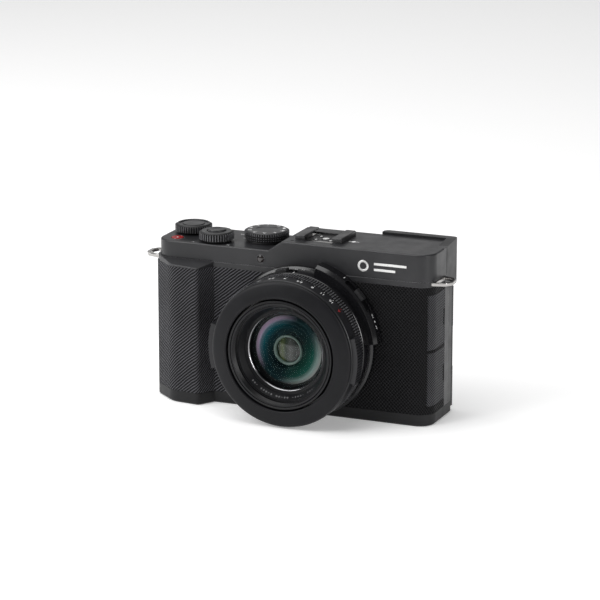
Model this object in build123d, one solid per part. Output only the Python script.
from build123d import *

import math
import os

# A compact rangefinder-style camera: retracting zoom lens, eye-level finder in the corner, screen hinged at one
# side. Millimetres. X runs to the right seen from the front, +Y to the back, +Z up. The origin is the mouth of
# the tripod socket in the base, straight below the lens axis.

# ---- driving sizes -------------------------------------------------------------------------------------------
BODY_W = 128.2  # left end to right end of the casing
LENS_FROM_RIGHT = 57.9  # lens axis to the right end
SOCKET_FROM_FRONT = 15.0  # tripod socket to the front face
BODY_D = 30.5  # front face to the back of the closed screen
BASE_H = 5.2  # height of the base plate
SIDE_TOP = 63.0  # where the side casing ends and the top cover starts
DECK_LOW = 70.3  # deck that carries the dials
DECK_HIGH = 74.8  # deck that carries the accessory shoe
CORNER_R = 7.2  # upright corners of the casing
WALL = 1.5
DECK_T = 2.0
FLOOR_T = 1.6
SKIN = 0.8  # leatherette
SPLIT_Y = 6.7  # seam between the front and rear shells
PANEL_STEP = 1.1  # the closed screen stands this proud of the control panel
SEAM = 0.05  # left between pieces that are screwed together
PLAY = 0.2  # left round a part that moves
BAND_H = 2.4  # bare band of casing under the top cover

STEP_FOOT, STEP_HEAD = -16.4, -9.8  # slope between the two decks
TOP_INSET = 1.2  # the top cover is this much shorter than the casing at the grip end

GRIP_REACH = 7.3  # grip, forward of the front face
GRIP_RIDGE_X = -46.2
GRIP_FOOT_X = -41.4
SKIN_BACK = 2.2  # rear edge of the leatherette on both ends of the casing

LENS_Z = 32.3
BEZEL_REACH = 26.2  # bezel, forward of the front face
BEZEL_CONE, BEZEL_RIM = 1.9, 1.1
APERTURE_L, CONTROL_L = 6.3, 6.1
TAB_T, TAB_HALF = 2.3, 17.0  # finger tabs of the aperture ring, half angle in degrees
BASE_RING_L = 2.2
LENS_FLAT = 0.3  # the base ring is cut flat this far above the base
THREAD_R, THREAD_L = 21.5, 3.0  # filter thread: the barrels, tube and rings are sized outwards from it
THREAD_WALL = 1.0  # inner barrel
ZOOM_WALL = 0.9  # outer barrel
TUBE_WALL = 2.6
SLEEVE_T = 1.8  # seat of the turning rings, outside the tube
RING_T = 3.7
BAND_PROUD = 0.1  # fixed band behind the rings, over them
BEZEL_UNDER = 0.3  # bezel, under the rings
BEZEL_LIP = 0.6  # bezel hole, wider than the tube bore
BASE_RING_PROUD = 1.0
ZOOM_L = 33.0
ZOOM_INSET = 0.5  # barrel front, behind the bezel's front edge
NAME_RING_L = 4.2
NAME_RING_W = 5.0
SHOULDER_T, SHOULDER_L = 3.4, 7.2
SHOULDER_FROM, SHOULDER_TO = 6.0, 76.0  # degrees round the lens axis, from the right
SWITCH_SWING = 8.0

DIAL_X, DIAL_Y, DIAL_R, DIAL_TOP = -59.4, 3.6, 8.1, 74.5
SHUTTER_X, SHUTTER_Y, LEVER_R, LEVER_TOP = -43.6, -7.2, 7.6, 75.0
BUTTON_R, BUTTON_TRAVEL = 3.9, 0.8
MODE_X, MODE_Y, MODE_R, MODE_TOP = -23.7, 1.4, 9.7, 75.4
POWER_H = 0.8
SPINDLE_R = 2.0
RECORD_X, RECORD_Y, RECORD_R = -61.3, -9.0, 2.65
AF_X, AF_Z, AF_R = -19.6, 66.2, 1.6

SHOE_X, SHOE_Y = 4.5, -0.8
SHOE_W, SHOE_L = 21.3, 16.6
SHOE_INNER_W, SHOE_GAP_W = 18.7, 12.7
SHOE_SUNK, SHOE_SLOT_H, SHOE_LIP_H, SHOE_PLATE_T = 0.8, 2.1, 0.9, 0.4

EVF_LEFT, EVF_SIDE_T = 24.5, 4.0
EVF_BOTTOM, EVF_TOP = 57.0, 75.8
EVF_PROUD, EVF_FRONT = 2.8, 4.2  # finder block, behind the closed screen
EYE_X, EYE_Z = 42.0, 66.4
EYE_W, EYE_H = 19.0, 11.0
CUP_W, CUP_H, CUP_L = 25.0, 16.0, 6.4
DIOPTER_X, DIOPTER_R = 27.0, 1.8

SCREEN_LEFT, SCREEN_BOTTOM, SCREEN_TOP = -20.5, 2.4, 55.2
SCREEN_T = 4.6
SCREEN_GAP = 0.4
HINGE_BOTTOM, HINGE_TOP = 20.0, 37.6
HINGE_IN = 2.6  # swing axis, in from the right end
PIN_R, PIN_PLAY = 0.8, 0.03
EAR_H = 1.8

DOORS = {"port_door_upper": (33.2, 57.0), "port_door_lower": (8.6, 31.8)}
DOOR_T = 2.2
DOOR_ANGLE = 53.5  # the doors' hinge line round the corner, in degrees from the front face
DOOR_GAP = 0.25
DOOR_PIN_R, DOOR_PIN_L = 0.35, 0.5

HATCH_X0, HATCH_X1, HATCH_Y0, HATCH_Y1 = -66.0, -29.5, -12.4, 3.4
HATCH_T = 1.3
LATCH_L, LATCH_W, LATCH_TRAVEL = 5.0, 4.6, 1.8
LATCH_Y = -5.0
BATTERY_X0, BATTERY_X1, BATTERY_Y0, BATTERY_Y1, BATTERY_TOP = -64.0, -31.5, -10.6, -1.4, 46.0
BOX_T = 0.7
CARD_X, CARD_W, CARD_SLOT_H, CARD_L = -48.3, 24.4, 2.3, 24.0
SOCKET_R, SOCKET_BORE_R, SOCKET_DEPTH, SOCKET_H = 6.2, 3.2, 5.0, 5.6

WHEEL_X, WHEEL_Z, WHEEL_R, SET_R = -41.0, 23.0, 10.0, 3.4
KEY_R, KEY_TRAVEL = 2.7, 0.5
KEYS = {
    "menu_button": (-29.0, 41.0),
    "play_button": (-54.5, 9.8),
    "delete_button": (-28.6, 9.8),
    "view_button": (-54.5, 36.4),
}
EYELET_Y, EYELET_T, EYELET_REACH, EYELET_HALF = -4.6, 1.4, 6.6, 6.8

# ---- places worked out from them -----------------------------------------------------------------------------
FRONT = -SOCKET_FROM_FRONT
BACK = FRONT + BODY_D
PANEL_BACK = BACK - PANEL_STEP
EVF_BACK = BACK + EVF_PROUD
RIGHT = LENS_FROM_RIGHT
LEFT = RIGHT - BODY_W
COVER_LEFT = LEFT + TOP_INSET
SKIN_TOP = SIDE_TOP - BAND_H
INSET = SKIN + SEAM  # shell surface under the leatherette
SCREEN_FRONT = BACK - SCREEN_T
SCREEN_FLOOR = SCREEN_FRONT - 0.3
HINGE_X, HINGE_Y = RIGHT - HINGE_IN, SCREEN_FRONT + SCREEN_T / 2
BEZEL_Y = FRONT - BEZEL_REACH
RIM_BACK = BEZEL_Y + BEZEL_CONE + BEZEL_RIM
APERTURE_Y = RIM_BACK + PLAY
CONTROL_Y = APERTURE_Y + APERTURE_L + PLAY
BAND_Y = CONTROL_Y + CONTROL_L + PLAY
TUBE_BACK = 1.2
ZOOM_Y = BEZEL_Y + ZOOM_INSET
INNER_R = THREAD_R + THREAD_WALL
OUTER_R = INNER_R + PLAY + ZOOM_WALL
TUBE_BORE_R = OUTER_R + PLAY
TUBE_R = TUBE_BORE_R + TUBE_WALL
RING_SEAT_R = TUBE_R + SLEEVE_T
RING_R = RING_SEAT_R + RING_T
TAB_R = RING_R + TAB_T
BEZEL_R, BEZEL_HOLE_R = RING_R - BEZEL_UNDER, TUBE_BORE_R + BEZEL_LIP
BAND_R = RING_R + BAND_PROUD
BASE_RING_R = BAND_R + BASE_RING_PROUD
SHOULDER_R = BASE_RING_R + SHOULDER_T
GLASS_R = THREAD_R - NAME_RING_W
NAME_Y = ZOOM_Y + THREAD_L + 0.1
GLASS_Y = NAME_Y + NAME_RING_L
SHOE_FLOOR = DECK_HIGH - SHOE_SUNK
LOW_IN, HIGH_IN = DECK_LOW - DECK_T, DECK_HIGH - DECK_T
CORNER_X, CORNER_Y = RIGHT - CORNER_R, FRONT + CORNER_R
DOOR_A = math.radians(DOOR_ANGLE)
DOOR_AXIS_X = CORNER_X + (CORNER_R - DOOR_T / 2) * math.sin(DOOR_A)
DOOR_AXIS_Y = CORNER_Y - (CORNER_R - DOOR_T / 2) * math.cos(DOOR_A)


# ---- shapes used throughout ----------------------------------------------------------------------------------
def block(x0, x1, y0, y1, z0, z1):
    """A box between two corners."""
    return Pos((x0 + x1) / 2, (y0 + y1) / 2, (z0 + z1) / 2) * Box(x1 - x0, y1 - y0, z1 - z0)


def post(x, y, r, z0, z1):
    """An upright cylinder."""
    return Pos(x, y, (z0 + z1) / 2) * Cylinder(r, z1 - z0)


def stub(x, z, r, y0, y1):
    """A cylinder along Y."""
    return Pos(x, (y0 + y1) / 2, z) * Rot(90, 0, 0) * Cylinder(r, y1 - y0)


def turned(points, x=0.0, z=LENS_Z):
    """A solid of revolution round an axis along Y, from its (radius, y) outline."""
    return Pos(x, 0, z) * revolve(make_face(Polyline(points, close=True)), Axis.Y)


def tube(r_in, r_out, y0, y1):
    """A plain ring round the lens axis."""
    return turned([(r_in, y0), (r_out, y0), (r_out, y1), (r_in, y1)])


def spun(x, y, points):
    """A solid of revolution round an upright axis at (x, y), from its (radius, z) outline."""
    outline = make_face(Plane.XZ * Polyline(points, close=True))
    return Pos(x, y, 0) * revolve(outline, Axis.Z)


def sector(r_in, r_out, y0, y1, start, end):
    """Part of a ring round the lens axis, between two angles from the right, in degrees."""
    angles = [math.radians(start + (end - start) * i / 3) for i in range(4)]
    fan = [(0, 0)] + [(3 * r_out * math.cos(a), 3 * r_out * math.sin(a)) for a in angles]
    wedge = Pos(0, y1 + 1, LENS_Z) * extrude(Plane.XZ * make_face(Polyline(fan, close=True)), y1 - y0 + 2)
    return tube(r_in, r_out, y0, y1) & wedge


def toothed_face(r, depth, count):
    """A round face whose edge has shallow teeth."""
    points = []
    for i in range(count):
        for share, radius in ((0.0, r - depth), (0.25, r), (0.6, r), (0.85, r - depth)):
            a = 2 * math.pi * (i + share) / count
            points.append((radius * math.cos(a), radius * math.sin(a)))
    return make_face(Polyline(points, close=True))


def knob(x, y, r, z0, z1, depth, count, bevel):
    """An upright knob with a toothed side and a bevelled top edge."""
    side = Pos(x, y, z0) * extrude(toothed_face(r, depth, count), z1 - z0)
    flat = r - depth - bevel
    return side & spun(x, y, [(0, z0), (r + 1, z0), (r + 1, z1 - bevel - 0.4), (flat, z1), (0, z1)])


def element(r, y0, y1, front, back):
    """A lens: its edge runs from y0 to y1, and its spherical faces bulge by front and back."""
    outline = Line((0, y0 - front), (0, y1 + back)) + Line((r, y1), (r, y0))
    for y, bulge in ((y1, back), (y0, -front)):
        sphere = (r * r + bulge * bulge) / (2 * abs(bulge))
        sag = sphere - math.sqrt(sphere * sphere - r * r / 4)
        halfway = y + bulge - math.copysign(sag, bulge)
        outline += ThreePointArc((0, y + bulge), (r / 2, halfway), (r, y))
    return Pos(0, 0, LENS_Z) * revolve(make_face(outline), Axis.Y)


# ---- outlines of the casing ----------------------------------------------------------------------------------
def casing_face(inset=0.0, left=LEFT, back=PANEL_BACK):
    """Plan of the casing without its grip."""
    w, d = RIGHT - left - 2 * inset, back - FRONT - 2 * inset
    face = RectangleRounded(w, d, max(CORNER_R - inset, 0.5))
    return Pos((RIGHT + left) / 2, (FRONT + back) / 2) * face


def grip_face(inset=0.0):
    """Plan of the grip: a slope from the end of the casing to a full ridge, then a steep side."""
    ridge = FRONT - GRIP_REACH
    corners = [
        (LEFT, 0.0),
        (LEFT, FRONT + 3.4),
        (GRIP_RIDGE_X - 13.0, ridge + 1.4),
        (GRIP_RIDGE_X, ridge),
        (GRIP_FOOT_X, FRONT + 0.2),
        (GRIP_FOOT_X + 2.0, FRONT + 2.6),
        (GRIP_FOOT_X + 2.0, 0.0),
    ]
    wire = FilletPolyline(corners, radius=[5.0, 9.0, 2.2, 2.0, 1.0], close=False)
    face = make_face(wire + Line(corners[-1], corners[0]))
    return offset(face, -inset) if inset else face


def square_end(left, back):
    """Fills the casing's rear right corner, which stays square behind the finder and the screen."""
    return Pos((left + RIGHT) / 2, back / 2) * Rectangle(RIGHT - left, back)


def casing_block(inset, z0, z1):
    """The casing with its grip, as a block."""
    return Pos(0, 0, z0) * (extrude(casing_face(inset), z1 - z0) + extrude(grip_face(inset), z1 - z0))


def evf_space(margin):
    """Room that the finder block takes from the covers round it."""
    low = EVF_BOTTOM - margin
    side = block(RIGHT - EVF_SIDE_T - margin, RIGHT + 9, EVF_FRONT - margin, BACK + 9, low, 99)
    core = block(EVF_LEFT + 4 - margin, RIGHT, 5.4 - margin, BACK + 9, low, HIGH_IN - 0.6 + margin)
    return side + core


def door_wedge(ahead, behind):
    """Plan of the wedge that a port door fills: from its hinge line back to its rear edge."""
    ux, uy = math.sin(DOOR_A), -math.cos(DOOR_A)
    sx, sy = CORNER_X + ahead * uy, CORNER_Y - ahead * ux
    far = 3 * CORNER_R
    points = [
        (sx, sy),
        (sx + far * ux, sy + far * uy),
        (RIGHT + far, sy + far * uy),
        (RIGHT + far, SKIN_BACK - DOOR_GAP + behind),
        (CORNER_X, SKIN_BACK - DOOR_GAP + behind),
    ]
    return make_face(Polyline(points, close=True))


def doorways():
    """What both port doors, their gaps and their hinge pins take out of the casing."""
    plan = (casing_face(-1) - casing_face(4)) & door_wedge(DOOR_T / 2 + DOOR_GAP, DOOR_GAP)
    cuts = None
    for z0, z1 in DOORS.values():
        way = Pos(0, 0, z0 - DOOR_GAP) * extrude(plan, z1 - z0 + 2 * DOOR_GAP)
        reach = DOOR_PIN_L + DOOR_GAP
        way += post(DOOR_AXIS_X, DOOR_AXIS_Y, DOOR_PIN_R + PIN_PLAY, z0 - reach, z1 + reach)
        cuts = way if cuts is None else cuts + way
    return cuts


# ---- casing --------------------------------------------------------------------------------------------------
SCREWS = [(-20.0, -11.0), (-20.0, 6.5), (45.0, -10.5), (45.0, 6.0)]
SCREW_HEAD_R, SCREW_SHANK_R, SCREW_HEAD_H, SCREW_L = 1.5, 0.8, 0.9, 4.0


def base_plate():
    h = BASE_H - SEAM
    plate = casing_block(0, 0, h) + extrude(square_end(CORNER_X, SCREEN_FLOOR), h)
    plate -= block(SCREEN_LEFT - 0.6, RIGHT + 1, SCREEN_FLOOR, BACK, -1, BASE_H)
    plate = chamfer(plate.faces().sort_by(Axis.Z)[0].edges(), 0.7)
    hollow = casing_block(WALL, FLOOR_T, BASE_H + 1)
    plate -= hollow & block(LEFT, RIGHT, FRONT - 30, SCREEN_FLOOR - WALL, 0, 9)
    plate -= block(HATCH_X0 - PLAY, HATCH_X1 + PLAY, HATCH_Y0 - PLAY, HATCH_Y1 + PLAY, -1, BASE_H)
    hx, hz = HATCH_X0 + HATCH_T / 2, 0.1 + HATCH_T / 2
    reach = DOOR_PIN_L + 2 * PLAY
    pins = stub(hx, hz, DOOR_PIN_R + PIN_PLAY, HATCH_Y0 - reach, HATCH_Y1 + reach)
    plate -= pins
    x0, x1 = HATCH_X1 + 1.2, HATCH_X1 + 1.2 + LATCH_L + LATCH_TRAVEL
    half = LATCH_W / 2 + PLAY
    plate -= block(x0 - PLAY, x1 + PLAY, LATCH_Y - half, LATCH_Y + half, -1, BASE_H)
    plate -= post(0, 0, SOCKET_R + SEAM, -1, BASE_H)
    for x, y in SCREWS:
        plate -= post(x, y, SCREW_HEAD_R + SEAM, -1, SCREW_HEAD_H + 0.25)
        plate -= post(x, y, SCREW_SHANK_R + SEAM, -1, BASE_H)
    return plate


def base_screws():
    """Four screws that hold the base plate, each with a crosswise slot."""
    group = None
    for x, y in SCREWS:
        screw = post(x, y, SCREW_HEAD_R, 0.2, 0.2 + SCREW_HEAD_H)
        screw += post(x, y, SCREW_SHANK_R, 0.2, SCREW_L)
        screw -= block(x - 1.0, x + 1.0, y - 0.15, y + 0.15, 0, 0.55)
        screw -= block(x - 0.15, x + 0.15, y - 1.0, y + 1.0, 0, 0.55)
        group = screw if group is None else group + screw
    return group


def grip_cap():
    """Bare ledge on top of the grip, sloping down to its front edge."""
    cap = Pos(0, 0, SKIN_TOP) * extrude(grip_face(), BAND_H - SEAM)
    cap &= block(LEFT - 1, 0, FRONT - 30, FRONT + 1, 0, 99)
    slope = [(FRONT, SIDE_TOP - 0.1), (FRONT - 10, SIDE_TOP - 2.6), (FRONT - 10, 99), (FRONT, 99)]
    return cap - extrude(Plane.YZ * make_face(Polyline(slope, close=True)), 2 * BODY_W, both=True)


def strap_slots():
    half = EYELET_HALF + 0.4
    z0 = SIDE_TOP - BAND_H / 2 - EYELET_T / 2 - SEAM
    z1 = SIDE_TOP - BAND_H / 2 + EYELET_T / 2 + SEAM
    slots = block(LEFT - 1, LEFT + 5, EYELET_Y - half, EYELET_Y + half, z0, z1)
    return slots + block(RIGHT - 5, RIGHT + 1, EYELET_Y - half, EYELET_Y + half, z0, z1)


def front_shell():
    shell = casing_block(INSET, BASE_H, SKIN_TOP)
    shell += Pos(0, 0, SKIN_TOP) * extrude(casing_face(), BAND_H - SEAM)
    ends = Pos(0, 0, BASE_H) * extrude(casing_face(), SKIN_TOP - BASE_H)
    shell += ends & block(LEFT - 1, RIGHT + 1, SKIN_BACK, SPLIT_Y, 0, 99)
    shell += grip_cap()
    shell &= block(LEFT - 1, RIGHT + 1, FRONT - 30, SPLIT_Y - SEAM, 0, 99)
    shell -= Pos(0, 0, -1) * extrude(casing_face(INSET + WALL, back=PANEL_BACK + 20), 100)
    shell -= Pos(0, 0, BASE_H - 1) * extrude(grip_face(INSET + WALL), SKIN_TOP - BASE_H - WALL + 1)
    shell -= doorways()
    shell -= strap_slots()
    shell -= stub(0, LENS_Z, TUBE_R + SEAM, FRONT - 9, FRONT + 9)
    return shell - evf_space(SEAM)


def leather(x0, x1):
    """The leatherette between two planes across X, trimmed round the lens and the doors."""
    z0, h = BASE_H + SEAM, SKIN_TOP - BASE_H - 2 * SEAM
    piece = casing_block(0, z0, z0 + h) - casing_block(SKIN, z0 - 1, z0 + h + 1)
    piece &= block(x0, x1, FRONT - 30, SKIN_BACK - SEAM, 0, 99)
    piece -= stub(0, LENS_Z, BASE_RING_R + 0.15, FRONT - 30, FRONT + 9)
    piece -= sector(TUBE_R, SHOULDER_R + 0.15, FRONT - 9, FRONT + 3, SHOULDER_FROM - 1, SHOULDER_TO + 1)
    piece -= doorways()
    return max(piece.solids(), key=lambda s: s.volume)


def rear_shell():
    h = SIDE_TOP - SEAM - BASE_H
    plan = casing_face() + square_end(CORNER_X, SCREEN_FLOOR)
    shell = Pos(0, 0, BASE_H) * extrude(plan, h)
    shell &= block(LEFT - 1, RIGHT + 1, SPLIT_Y, BACK, 0, 99)
    recess = SCREEN_LEFT - 0.6
    shell -= block(recess, RIGHT + 1, SCREEN_FLOOR, BACK + 1, -1, SCREEN_TOP + SCREEN_GAP)
    shell -= extrude(casing_face(WALL), 99) & block(LEFT + 3, recess - WALL, SPLIT_Y - 1, BACK, 0, 99)
    shell -= block(recess - WALL - 1, RIGHT - WALL, SPLIT_Y - 1, SCREEN_FLOOR - WALL, 0, 99)
    for z in (HINGE_BOTTOM - EAR_H - PLAY, HINGE_TOP + PLAY):
        ear = post(HINGE_X, HINGE_Y, SCREEN_T / 2, z, z + EAR_H)
        ear += block(HINGE_X - 1.5, HINGE_X + 1.5, SCREEN_FLOOR - 0.5, HINGE_Y, z, z + EAR_H)
        shell += ear - post(HINGE_X, HINGE_Y, PIN_R + PIN_PLAY, 0, 99)
    shell -= stub(WHEEL_X, WHEEL_Z, WHEEL_R + PLAY, PANEL_BACK - 0.9, BACK)
    shell -= stub(WHEEL_X, WHEEL_Z, SET_R - 0.4, SPLIT_Y, BACK)
    for x, z in KEYS.values():
        shell -= stub(x, z, KEY_R + PLAY, SPLIT_Y, BACK)
    return shell - evf_space(SEAM)


def thumb_rest():
    pad = Plane.XZ * (Pos(LEFT + 15.0, 51.0) * RectangleRounded(19.0, 17.5, 5.0))
    pad = Pos(0, PANEL_BACK + SEAM, 0) * extrude(pad, -2.4)
    return chamfer(pad.faces().sort_by(Axis.Y)[-1].edges(), 1.3)


def deck_block(inset, drop, floor):
    """What the top cover fills: both decks and the slope between them."""
    low, high = DECK_LOW - drop, DECK_HIGH - drop
    slide = 0.35 * drop
    outline = [
        (LEFT - 5, floor),
        (LEFT - 5, low),
        (STEP_FOOT + slide, low),
        (STEP_HEAD + slide, high),
        (RIGHT + 5, high),
        (RIGHT + 5, floor),
    ]
    profile = extrude(Plane.XZ * make_face(Polyline(outline, close=True)), 60, both=True)
    return profile & extrude(casing_face(inset, COVER_LEFT), DECK_HIGH + 9)


def top_cover():
    cover = deck_block(0, 0, SIDE_TOP)
    tops = cover.faces().filter_by(lambda f: f.normal_at().Z > 0.5)
    rim = [e for e in cover.edges() if sum(e in f.edges() for f in tops) == 1]
    cover = fillet(rim, 0.7)
    cover += Pos(0, 0, SIDE_TOP) * extrude(square_end(CORNER_X - 8, PANEL_BACK), DECK_HIGH - SIDE_TOP)
    scoop = MODE_R + 0.6
    cover -= deck_block(WALL, DECK_T, SIDE_TOP - 1) - post(MODE_X, MODE_Y, scoop + WALL, LOW_IN, 99)
    cover -= post(MODE_X, MODE_Y, scoop, DECK_LOW, 99)
    for x, y, r in ((DIAL_X, DIAL_Y, SPINDLE_R), (SHUTTER_X, SHUTTER_Y, SPINDLE_R + 0.4), (MODE_X, MODE_Y, SPINDLE_R)):
        cover -= post(x, y, r + PLAY, SIDE_TOP, 99)
    cover -= post(RECORD_X, RECORD_Y, RECORD_R + PLAY, SIDE_TOP, 99)
    half, back = SHOE_W / 2 + SEAM, SHOE_Y + SHOE_L / 2 + SEAM
    cover -= block(SHOE_X - half, SHOE_X + half, back - SHOE_L - 2 * SEAM, back, SHOE_FLOOR - SHOE_PLATE_T - SEAM, 99)
    for side in (-1, 1):
        cover -= post(SHOE_X + side * 6.8, SHOE_Y - SHOE_L / 2 - 1.6, 0.45, SIDE_TOP, 99)
    cover -= stub(AF_X, AF_Z, AF_R + SEAM, FRONT - 5, FRONT + 5)
    return cover - evf_space(SEAM)


def af_lamp():
    lens = stub(AF_X, AF_Z, AF_R, FRONT + 0.3, FRONT + 3.0)
    return lens + stub(AF_X, AF_Z, AF_R + 0.4, FRONT + WALL + SEAM, FRONT + 3.0)


def strap_eyelets():
    """A flat steel loop at each end, its foot let into the casing."""
    loops = None
    for side, end in ((-1, LEFT), (1, RIGHT)):
        r, w = EYELET_REACH, EYELET_HALF
        outer = [(-3, -w), (0, -w), (r - 2, -w + 1.6), (r, -w + 4.4), (r, w - 4.4), (r - 2, w - 1.6), (0, w), (-3, w)]
        hole = [(0.2, 1.6 - w), (r - 2.4, 2.9 - w), (r - 1.5, 4.6 - w), (r - 1.5, w - 4.6), (r - 2.4, w - 2.9), (0.2, w - 1.6)]
        plate = make_face(Polyline(outer, close=True)) - make_face(Polyline(hole, close=True))
        loop = extrude(plate, EYELET_T)
        if side < 0:
            loop = mirror(loop, Plane.YZ)
        loop = Pos(end, EYELET_Y, SIDE_TOP - BAND_H / 2 - EYELET_T / 2) * loop
        loops = loop if loops is None else loops + loop
    return loops


# ---- accessory shoe ------------------------------------------------------------------------------------------
def shoe_frame():
    y0, y1 = SHOE_Y - SHOE_L / 2, SHOE_Y + SHOE_L / 2
    under = SHOE_FLOOR + SHOE_SLOT_H
    half, inner, gap = SHOE_W / 2, SHOE_INNER_W / 2, SHOE_GAP_W / 2
    shoe = block(SHOE_X - half, SHOE_X + half, y0, y1, SHOE_FLOOR - SHOE_PLATE_T, under + SHOE_LIP_H)
    shoe = chamfer(shoe.faces().sort_by(Axis.Z)[-1].edges(), 0.3)
    shoe -= block(SHOE_X - inner, SHOE_X + inner, y0 + 0.9, y1 + 1, SHOE_FLOOR, under)
    return shoe - block(SHOE_X - gap, SHOE_X + gap, y0 - 1, y1 + 1, SHOE_FLOOR, 99)


def shoe_spring():
    """U-shaped leaf under the lips of the shoe."""
    y0, y1 = SHOE_Y - SHOE_L / 2 + 1.1, SHOE_Y + SHOE_L / 2 - 0.6
    inner = SHOE_INNER_W / 2 - 0.15
    leaf = block(SHOE_X - inner, SHOE_X + inner, y0, y1, SHOE_FLOOR + SEAM, SHOE_FLOOR + 0.3)
    return leaf - block(SHOE_X - inner + 2.2, SHOE_X + inner - 2.2, y0 + 2.0, y1 + 1, 0, 99)


# ---- finder --------------------------------------------------------------------------------------------------
def finder_housing():
    y0 = PANEL_BACK + SEAM
    back = block(EVF_LEFT, RIGHT, y0, EVF_BACK, EVF_BOTTOM, EVF_TOP)
    back = fillet(back.edges().filter_by(Axis.Z).group_by(Axis.Y)[-1], 2.4)
    side = block(RIGHT - EVF_SIDE_T, RIGHT, EVF_FRONT, y0 + 1, EVF_BOTTOM, EVF_TOP)
    ramp = [(EVF_FRONT - 1, DECK_HIGH), (EVF_FRONT + 0.4, DECK_HIGH), (y0, EVF_TOP), (y0, 99), (EVF_FRONT - 1, 99)]
    side -= extrude(Plane.YZ * make_face(Polyline(ramp, close=True)), 2 * BODY_W, both=True)
    core = block(EVF_LEFT + 4, RIGHT - 1, 5.4, y0 + 1, EVF_BOTTOM, HIGH_IN - 0.6)
    body = back + side + core
    body -= block(EYE_X - EYE_W / 2, EYE_X + EYE_W / 2, 6.6, EVF_BACK + 1, EYE_Z - EYE_H / 2, EYE_Z + EYE_H / 2)
    body -= stub(DIOPTER_X, EYE_Z, 0.7 + PLAY, EVF_BACK - 3, EVF_BACK + 1)
    return body


def eyecup():
    outer = RectangleRounded(CUP_W, CUP_H, 5.0)
    hole = RectangleRounded(EYE_W - 1.0, EYE_H - 1.0, 2.0)
    cup = Pos(EYE_X, EVF_BACK + SEAM, EYE_Z) * extrude(Plane.XZ * (outer - hole), -CUP_L)
    return chamfer(cup.faces().sort_by(Axis.Y)[-1].edges(), 0.8)


def eyepiece():
    w, h = EYE_W / 2 - SEAM, EYE_H / 2 - SEAM
    return block(EYE_X - w, EYE_X + w, 14.6, 17.6, EYE_Z - h, EYE_Z + h)


def finder_display():
    w, h = EYE_W / 2 - SEAM, EYE_H / 2 - SEAM
    return block(EYE_X - w, EYE_X + w, 6.7, 8.0, EYE_Z - h, EYE_Z + h)


def diopter_dial():
    dial = turned([(0, EVF_BACK - 2.6), (0.7, EVF_BACK - 2.6), (0.7, EVF_BACK + 0.1), (0, EVF_BACK + 0.1)], DIOPTER_X, EYE_Z)
    cap = extrude(Plane.XZ * toothed_face(DIOPTER_R, 0.15, 18), -1.3)
    return dial + Pos(DIOPTER_X, EVF_BACK + 0.1, EYE_Z) * cap


# ---- inside the casing ---------------------------------------------------------------------------------------
def tripod_socket():
    socket = post(0, 0, SOCKET_R, 0, SOCKET_H)
    return socket - post(0, 0, SOCKET_BORE_R, -1, SOCKET_DEPTH)


def chassis():
    y0 = FRONT + INSET + WALL + 0.2
    left = BATTERY_X1 + BOX_T + 0.1
    plate = block(left, CORNER_X - 2, y0, y0 + 1.2, BASE_H + 0.8, SKIN_TOP + 1)
    plate += block(-24, 24, y0, SPLIT_Y - 0.3, BASE_H + SEAM, BASE_H + 1.2)
    plate -= stub(0, LENS_Z, TUBE_R + 0.1, FRONT - 9, BACK)
    return plate - post(0, 0, SOCKET_R + 0.1, 0, 20)


def sensor_unit():
    """Image sensor on its carrier, held off the back of the lens tube by three feet."""
    y0 = TUBE_BACK + 1.4
    unit = stub(0, LENS_Z, TUBE_R - 0.3, y0, y0 + 1.4)
    unit += block(-12, 12, y0 - 0.8, y0 + 1, LENS_Z - 9.5, LENS_Z + 9.5)
    for angle in (90, 210, 330):
        a = math.radians(angle)
        r = (TUBE_R + TUBE_BORE_R) / 2
        unit += stub(r * math.cos(a), LENS_Z + r * math.sin(a), 1.1, TUBE_BACK + SEAM, y0 + 1)
    return unit


def main_board():
    return block(-18, 50, SPLIT_Y + 0.2, SPLIT_Y + 1.4, 10, EVF_BOTTOM - 1.2)


def port_block():
    """Socket block behind the port doors, with its four sockets."""
    x0, x1 = CORNER_X - 1.6, RIGHT - DOOR_T - 0.9
    body = block(x0, x1, CORNER_Y + 1, SKIN_BACK - 0.6, 10, 56)
    for z in (50, 40):
        body -= Pos(x1, -2.6, z) * Rot(0, 90, 0) * Cylinder(1.75, 8)
    for z, h in ((25, 3.2), (15, 2.4)):
        body -= block(x1 - 4, x1 + 1, -6.2, 1.0, z - h / 2, z + h / 2)
    return body


def battery():
    return block(BATTERY_X0, BATTERY_X1, BATTERY_Y0, BATTERY_Y1, 2.0, BATTERY_TOP)


def battery_box():
    m, t = SEAM, SEAM + BOX_T
    box = block(BATTERY_X0 - t, BATTERY_X1 + t, BATTERY_Y0 - t, BATTERY_Y1 + t, FLOOR_T + 0.1, BATTERY_TOP + t)
    return box - block(BATTERY_X0 - m, BATTERY_X1 + m, BATTERY_Y0 - m, BATTERY_Y1 + m, 0, BATTERY_TOP + m)


def card_slot():
    y0 = BATTERY_Y1 + BOX_T + 2 * SEAM
    half, t = CARD_W / 2, 0.5
    slot = block(CARD_X - half - t, CARD_X + half + t, y0, y0 + CARD_SLOT_H + 2 * t, FLOOR_T + 0.1, CARD_L + 3)
    return slot - block(CARD_X - half, CARD_X + half, y0 + t, y0 + t + CARD_SLOT_H, 0, CARD_L + 2)


def battery_door():
    z0 = 0.1
    hx, hz = HATCH_X0 + HATCH_T / 2, z0 + HATCH_T / 2
    door = block(hx, HATCH_X1, HATCH_Y0, HATCH_Y1, z0, z0 + HATCH_T)
    door += stub(hx, hz, HATCH_T / 2, HATCH_Y0, HATCH_Y1)
    door += stub(hx, hz, DOOR_PIN_R, HATCH_Y0 - DOOR_PIN_L, HATCH_Y1 + DOOR_PIN_L)
    return door


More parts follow.
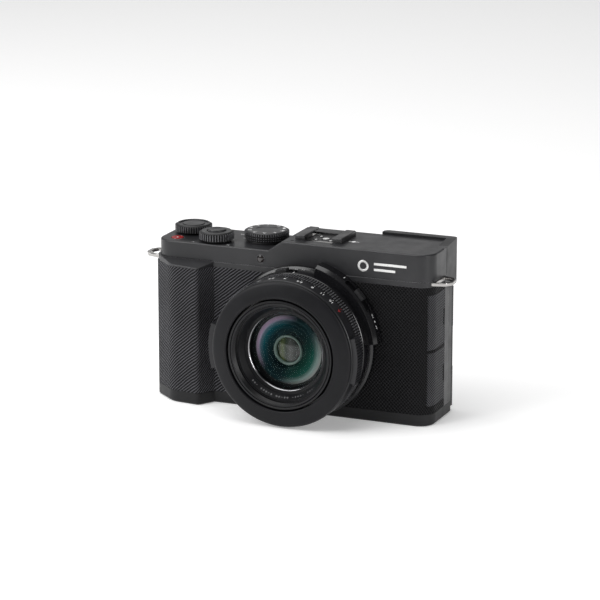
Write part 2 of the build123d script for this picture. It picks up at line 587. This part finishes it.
def battery_latch():
    x0 = HATCH_X1 + 1.2
    half = LATCH_W / 2
    slider = block(x0, x0 + LATCH_L, LATCH_Y - half, LATCH_Y + half, 0.15, FLOOR_T + 0.9)
    slider += block(x0, x0 + LATCH_L, LATCH_Y - half - 1, LATCH_Y + half + 1, FLOOR_T + 0.1, FLOOR_T + 0.9)
    for i in range(4):
        x = x0 + 0.8 + i * 1.05
        slider -= block(x, x + 0.4, LATCH_Y - half - 0.1, LATCH_Y + half + 0.1, 0, 0.4)
    return slider


# ---- lens ----------------------------------------------------------------------------------------------------
def switch_slot(r0, y0, y1, start, end):
    """Track in which a small switch slides round the lens, with play on every side."""
    extra = SWITCH_SWING + 0.6
    return sector(r0 - PLAY, r0 + 20, y0 - PLAY, y1 + PLAY, start - extra, end + extra)


FOCUS_SWITCH = (SHOULDER_R - 1.2, FRONT - 5.6, FRONT - 2.6, 37.0, 45.0)
ASPECT_SWITCH = (BAND_R - 1.2, FRONT - 7.6, FRONT - 4.4, 98.0, 107.0)


def lens_base():
    front = RIM_BACK + SEAM
    outline = [
        (TUBE_BORE_R, TUBE_BACK),
        (TUBE_R, TUBE_BACK),
        (TUBE_R, FRONT - SEAM),
        (BASE_RING_R, FRONT - SEAM),
        (BASE_RING_R, FRONT - BASE_RING_L),
        (BAND_R, FRONT - BASE_RING_L - 0.6),
        (BAND_R, BAND_Y + 0.3),
        (BAND_R - 0.3, BAND_Y),
        (RING_SEAT_R, BAND_Y),
        (RING_SEAT_R, front),
        (BEZEL_HOLE_R + 0.5, front),
        (BEZEL_HOLE_R + 0.5, front + 2.6),
        (TUBE_BORE_R, front + 2.6),
    ]
    base = turned(outline) - block(-50, 50, -60, 20, -20, LENS_FLAT)
    return base - switch_slot(*ASPECT_SWITCH)


def lens_shoulder():
    """Raised saddle over the upper right of the lens base."""
    y0, y1 = FRONT - SHOULDER_L, FRONT - SEAM
    saddle = sector(BAND_R - 1, SHOULDER_R, y0, y1, SHOULDER_FROM, SHOULDER_TO)
    slope = turned([(SHOULDER_R - 1.6, y0 - 1), (SHOULDER_R + 9, y0 - 1), (SHOULDER_R + 9, y0 + 3.4), (SHOULDER_R, y0 + 2.0)])
    saddle -= slope
    saddle -= turned([(0, y0 - 1), (BAND_R + SEAM, y0 - 1), (BAND_R + SEAM, FRONT - BASE_RING_L - 0.6), (0, 0)])
    saddle -= turned([
        (0, FRONT - 9),
        (BAND_R + SEAM, FRONT - 9),
        (BAND_R + SEAM, FRONT - BASE_RING_L - 0.7),
        (BASE_RING_R + SEAM, FRONT - BASE_RING_L - 0.1),
        (BASE_RING_R + SEAM, FRONT + 9),
        (0, FRONT + 9),
    ])
    return saddle - switch_slot(*FOCUS_SWITCH)


def switch_knob(r0, y0, y1, start, end):
    """Small switch with a ribbed back, in the track of the same place."""
    slider = sector(r0, r0 + 2.3, y0, y1, start, end)
    middle = math.radians((start + end) / 2)
    for turn in (-0.03, 0, 0.03):
        r = r0 + 2.4
        slider -= stub(r * math.cos(middle + turn), LENS_Z + r * math.sin(middle + turn), 0.3, y0 - 1, y1 + 1)
    return slider


def front_bezel():
    shoulder = BEZEL_Y + BEZEL_CONE
    spigot = BEZEL_HOLE_R + 0.45
    return turned([
        (BEZEL_HOLE_R, BEZEL_Y + 0.3),
        (BEZEL_HOLE_R + 0.5, BEZEL_Y),
        (BEZEL_R - 0.6, shoulder - 0.2),
        (BEZEL_R, shoulder + 0.2),
        (BEZEL_R, RIM_BACK),
        (spigot, RIM_BACK),
        (spigot, RIM_BACK + 2.4),
        (BEZEL_HOLE_R, RIM_BACK + 2.4),
    ])


def ring_blank(y0, length):
    """Profile shared by the two turning rings: a rim and a groove on the fixed sleeve."""
    return turned([
        (RING_SEAT_R + PLAY, y0),
        (RING_R - 0.3, y0),
        (RING_R, y0 + 0.3),
        (RING_R, y0 + length - 0.3),
        (RING_R - 0.3, y0 + length),
        (RING_SEAT_R + PLAY, y0 + length),
    ])


def aperture_ring():
    ring = ring_blank(APERTURE_Y, APERTURE_L)
    for middle in (0, 180):
        tab = sector(RING_R - 1, TAB_R, APERTURE_Y + 0.4, APERTURE_Y + APERTURE_L - 0.4, middle - TAB_HALF, middle + TAB_HALF)
        for i in range(-7, 8):
            a = math.radians(middle + i * 2.1)
            r = TAB_R + 0.1
            tab -= stub(r * math.cos(a), LENS_Z + r * math.sin(a), 0.4, APERTURE_Y, APERTURE_Y + APERTURE_L)
        ring += tab
    return ring


def control_ring():
    teeth = Pos(0, CONTROL_Y + CONTROL_L, LENS_Z) * extrude(Plane.XZ * toothed_face(RING_R, 0.35, 90), CONTROL_L)
    return ring_blank(CONTROL_Y, CONTROL_L) & teeth


def outer_barrel():
    return turned([
        (OUTER_R - ZOOM_WALL, ZOOM_Y),
        (OUTER_R - 0.3, ZOOM_Y),
        (OUTER_R, ZOOM_Y + 0.3),
        (OUTER_R, ZOOM_Y + ZOOM_L),
        (OUTER_R - ZOOM_WALL, ZOOM_Y + ZOOM_L),
    ])


def inner_barrel():
    """Front barrel: filter thread at the front, then the seat of the name ring and the shelf of the front lens."""
    cell = THREAD_R - 0.6
    shelf = GLASS_Y + 3.0
    back = ZOOM_Y + ZOOM_L - 5
    return turned([
        (THREAD_R, ZOOM_Y),
        (INNER_R, ZOOM_Y),
        (INNER_R, back),
        (cell, back),
        (cell, shelf + 1.2),
        (GLASS_R - 1.5, shelf + 1.2),
        (GLASS_R - 1.5, shelf),
        (cell, shelf),
        (cell, ZOOM_Y + THREAD_L),
        (THREAD_R, ZOOM_Y + THREAD_L),
    ])


def name_ring():
    outer = THREAD_R - 0.6 - SEAM
    return turned([
        (outer, NAME_Y),
        (GLASS_R, GLASS_Y - 0.9),
        (GLASS_R, GLASS_Y),
        (outer, GLASS_Y),
    ])


def front_lens():
    return element(GLASS_R + 0.7, GLASS_Y + 0.25, GLASS_Y + 2.8, 1.6, 0.4)


IRIS_Y = GLASS_Y + 11.0
MIDDLE_R = 9.5


def iris_unit():
    """Iris plate with the cell of the middle lens in front of it."""
    outer = THREAD_R - 0.6 - SEAM
    return turned([
        (5.2, IRIS_Y),
        (MIDDLE_R + SEAM, IRIS_Y),
        (MIDDLE_R + SEAM, IRIS_Y - 3.4),
        (MIDDLE_R + 1.2, IRIS_Y - 3.4),
        (MIDDLE_R + 1.2, IRIS_Y),
        (outer, IRIS_Y),
        (outer, IRIS_Y + 1.4),
        (5.2, IRIS_Y + 1.4),
    ])


def middle_lens():
    return element(MIDDLE_R, IRIS_Y - 3.0, IRIS_Y - 0.4, 1.2, 0.3)


REAR_R = 12.0


def rear_cell():
    y1 = TUBE_BACK
    return tube(REAR_R + SEAM, TUBE_BORE_R - SEAM, y1 - 2.6, y1)


def rear_lens():
    return element(REAR_R, TUBE_BACK - 2.4, TUBE_BACK - 0.8, 1.0, 0.3)


# ---- controls on the top cover -------------------------------------------------------------------------------
def spindle(x, y, r, top):
    """Shaft of a dial through the deck, with the collar that keeps it there."""
    shaft = post(x, y, r, LOW_IN - 1.4, top)
    return shaft + post(x, y, r + 1.5, LOW_IN - 1.4, LOW_IN - 0.2)


def top_dial():
    dial = knob(DIAL_X, DIAL_Y, DIAL_R, DECK_LOW + 0.3, DIAL_TOP, 0.3, 44, 0.5)
    dial -= spun(DIAL_X, DIAL_Y, [(5.0, DIAL_TOP - 0.4), (DIAL_R - 1.2, DIAL_TOP - 0.4), (DIAL_R - 1.2, 99), (5.0, 99)])
    return dial + spindle(DIAL_X, DIAL_Y, SPINDLE_R, DIAL_TOP - 1)


def zoom_lever():
    r = SPINDLE_R + 0.4
    lever = knob(SHUTTER_X, SHUTTER_Y, LEVER_R, DECK_LOW + 0.3, LEVER_TOP, 0.3, 40, 0.5)
    lever += spindle(SHUTTER_X, SHUTTER_Y, r, LEVER_TOP - 1)
    lever -= post(SHUTTER_X, SHUTTER_Y, BUTTON_R + PLAY, LEVER_TOP - 2.6, 99)
    return lever - post(SHUTTER_X, SHUTTER_Y, 1.4 + PLAY, 0, 99)


def shutter_button():
    top, foot = LEVER_TOP + 0.6, LEVER_TOP - 2.6 + BUTTON_TRAVEL + 0.2
    low = LOW_IN - 1.4 - PLAY
    button = spun(SHUTTER_X, SHUTTER_Y, [
        (0, foot),
        (BUTTON_R, foot),
        (BUTTON_R, top - 0.4),
        (BUTTON_R - 0.4, top),
        (2.2, top - 0.15),
        (0, top - 0.3),
    ])
    button += post(SHUTTER_X, SHUTTER_Y, 1.4, low - 0.9, foot + 0.2)
    return button + post(SHUTTER_X, SHUTTER_Y, 2.3, low - 0.9, low)


def mode_dial():
    low = DECK_LOW + 0.15 + POWER_H + 0.2
    dial = knob(MODE_X, MODE_Y, MODE_R, low, MODE_TOP, 0.3, 60, 0.5)
    for z in (low + 1.0, low + 2.0):
        dial -= spun(MODE_X, MODE_Y, [(MODE_R - 0.5, z), (MODE_R + 1, z), (MODE_R + 1, z + 0.35), (MODE_R - 0.5, z + 0.35)])
    return dial + spindle(MODE_X, MODE_Y, SPINDLE_R, MODE_TOP - 1)


def power_lever():
    """Thin ring under the mode dial, with its finger tab out at the back left."""
    z0 = DECK_LOW + 0.15
    ring = post(MODE_X, MODE_Y, MODE_R - 0.9, z0, z0 + POWER_H)
    tab = Pos(MODE_X, MODE_Y) * Rot(0, 0, 155) * block(0, MODE_R + 3.0, -1.5, 1.5, z0, z0 + 2.4)
    tab -= post(MODE_X, MODE_Y, MODE_R + PLAY, z0 + POWER_H, 99)
    return ring + tab - post(MODE_X, MODE_Y, SPINDLE_R + PLAY, 0, 99)


def record_button():
    button = spun(RECORD_X, RECORD_Y, [
        (0, LOW_IN - 0.6),
        (RECORD_R, LOW_IN - 0.6),
        (RECORD_R, DECK_LOW + 0.2),
        (RECORD_R - 0.4, DECK_LOW + 0.5),
        (0, DECK_LOW + 0.3),
    ])
    return button + post(RECORD_X, RECORD_Y, RECORD_R + 0.8, LOW_IN - 0.9, LOW_IN - SEAM)


# ---- controls on the back ------------------------------------------------------------------------------------
PANEL_IN = PANEL_BACK - WALL


def key(x, z):
    cap = turned([
        (0, PANEL_IN - 1),
        (KEY_R, PANEL_IN - 1),
        (KEY_R, PANEL_BACK + 0.4),
        (KEY_R - 0.3, PANEL_BACK + 0.7),
        (0, PANEL_BACK + 0.6),
    ], x, z)
    return cap + stub(x, z, KEY_R + 0.8, PANEL_IN - 1, PANEL_IN - SEAM)


def control_wheel():
    y0, y1 = PANEL_BACK - 0.9 + 0.1, PANEL_BACK + 0.9
    hub = SET_R - 0.4 - PLAY
    face = Plane.XZ * toothed_face(WHEEL_R, 0.25, 56)
    wheel = Pos(WHEEL_X, y0, WHEEL_Z) * extrude(face, -(y1 - y0))
    wheel += stub(WHEEL_X, WHEEL_Z, hub, PANEL_IN - 1.3, y1)
    wheel += stub(WHEEL_X, WHEEL_Z, hub + 1.2, PANEL_IN - 1.3, PANEL_IN - 0.1)
    wheel -= stub(WHEEL_X, WHEEL_Z, SET_R + PLAY, y1 - 1.2, BACK + 5)
    return wheel - stub(WHEEL_X, WHEEL_Z, hub - 0.8, 0, BACK)


def set_button():
    y1 = PANEL_BACK + 0.9
    foot = y1 - 1.2 + KEY_TRAVEL + 0.1
    stem = SET_R - 0.4 - PLAY - 0.8 - PLAY
    low = PANEL_IN - 1.3 - PLAY
    button = stub(WHEEL_X, WHEEL_Z, SET_R, foot, y1 + 0.3)
    button += stub(WHEEL_X, WHEEL_Z, stem, low - 0.6, foot + 0.1)
    return button + stub(WHEEL_X, WHEEL_Z, stem + 0.8, low - 0.6, low)


# ---- screen --------------------------------------------------------------------------------------------------
TONGUE_L, TONGUE_T = 9.0, 2.0


def screen_arm():
    arm = post(HINGE_X, HINGE_Y, SCREEN_T / 2 - 0.1, HINGE_BOTTOM, HINGE_TOP)
    arm += post(HINGE_X, HINGE_Y, PIN_R, HINGE_BOTTOM - EAR_H, HINGE_TOP + EAR_H)
    return arm + block(HINGE_X - TONGUE_L, HINGE_X, HINGE_Y - TONGUE_T / 2, HINGE_Y + TONGUE_T / 2, HINGE_BOTTOM + 1.5, HINGE_TOP - 1.5)


def screen_shell():
    shell = block(SCREEN_LEFT, HINGE_X, SCREEN_FRONT, BACK, SCREEN_BOTTOM, SCREEN_TOP)
    shell += post(HINGE_X, HINGE_Y, SCREEN_T / 2, SCREEN_BOTTOM, SCREEN_TOP)
    shell = fillet(shell.edges().filter_by(Axis.Y).group_by(Axis.X)[0], 2.5)
    z0, z1 = HINGE_BOTTOM - EAR_H - 2 * PLAY, HINGE_TOP + EAR_H + 2 * PLAY
    shell -= block(HINGE_X - SCREEN_T / 2 - 1.0, RIGHT + 1, 0, BACK + 1, z0, z1)
    t = TONGUE_T / 2 + SEAM
    shell -= block(HINGE_X - TONGUE_L - SEAM, HINGE_X, HINGE_Y - t, HINGE_Y + t, HINGE_BOTTOM + 1.5 - SEAM, HINGE_TOP - 1.5 + SEAM)
    return shell - block(SCREEN_LEFT + 2, HINGE_X - 5, BACK - 0.8, BACK + 1, SCREEN_BOTTOM + 2.4, SCREEN_TOP - 2.4)


def screen_glass():
    return block(SCREEN_LEFT + 2 + SEAM, HINGE_X - 5 - SEAM, BACK - 0.75, BACK - 0.05, SCREEN_BOTTOM + 2.4 + SEAM, SCREEN_TOP - 2.4 - SEAM)


# ---- port doors ----------------------------------------------------------------------------------------------
def port_door(z0, z1):
    """Curved door that wraps the front corner, rounded at its hinge, with a finger slot at its rear edge."""
    plan = (casing_face() - casing_face(DOOR_T)) & door_wedge(0, 0)
    plan += Pos(DOOR_AXIS_X, DOOR_AXIS_Y) * Circle(DOOR_T / 2)
    door = Pos(0, 0, z0) * extrude(plan, z1 - z0)
    door += post(DOOR_AXIS_X, DOOR_AXIS_Y, DOOR_PIN_R, z0 - DOOR_PIN_L, z1 + DOOR_PIN_L)
    middle = (z0 + z1) / 2
    return door - block(RIGHT - 1.2, RIGHT + 1, SKIN_BACK - 1.6, SKIN_BACK + 1, middle - 3.6, middle + 3.6)


nodes = {
    "base_plate": base_plate(),
    "base_screws": base_screws(),
    "front_shell": front_shell(),
    "grip_leather": leather(LEFT - 1, 0),
    "side_leather": leather(0, RIGHT + 1),
    "rear_shell": rear_shell(),
    "thumb_rest": thumb_rest(),
    "top_cover": top_cover(),
    "af_lamp": af_lamp(),
    "strap_eyelets": strap_eyelets(),
    "shoe_frame": shoe_frame(),
    "shoe_spring": shoe_spring(),
    "finder_housing": finder_housing(),
    "eyecup": eyecup(),
    "eyepiece": eyepiece(),
    "finder_display": finder_display(),
    "diopter_dial": diopter_dial(),
    "tripod_socket": tripod_socket(),
    "chassis": chassis(),
    "sensor_unit": sensor_unit(),
    "main_board": main_board(),
    "port_block": port_block(),
    "battery": battery(),
    "battery_box": battery_box(),
    "card_slot": card_slot(),
    "battery_door": battery_door(),
    "battery_latch": battery_latch(),
    "lens_base": lens_base(),
    "lens_shoulder": lens_shoulder(),
    "focus_switch": switch_knob(*FOCUS_SWITCH),
    "aspect_switch": switch_knob(*ASPECT_SWITCH),
    "front_bezel": front_bezel(),
    "aperture_ring": aperture_ring(),
    "control_ring": control_ring(),
    "outer_barrel": outer_barrel(),
    "inner_barrel": inner_barrel(),
    "name_ring": name_ring(),
    "front_lens": front_lens(),
    "iris_unit": iris_unit(),
    "middle_lens": middle_lens(),
    "rear_cell": rear_cell(),
    "rear_lens": rear_lens(),
    "top_dial": top_dial(),
    "zoom_lever": zoom_lever(),
    "shutter_button": shutter_button(),
    "mode_dial": mode_dial(),
    "power_lever": power_lever(),
    "record_button": record_button(),
    "control_wheel": control_wheel(),
    "set_button": set_button(),
    "screen_arm": screen_arm(),
    "screen_shell": screen_shell(),
    "screen_glass": screen_glass(),
}
for name, (x, z) in KEYS.items():
    nodes[name] = key(x, z)
for name, (z0, z1) in DOORS.items():
    nodes[name] = port_door(z0, z1)

os.makedirs("parts", exist_ok=True)
for name, shape in nodes.items():
    export_step(shape, f"parts/{name}.step")
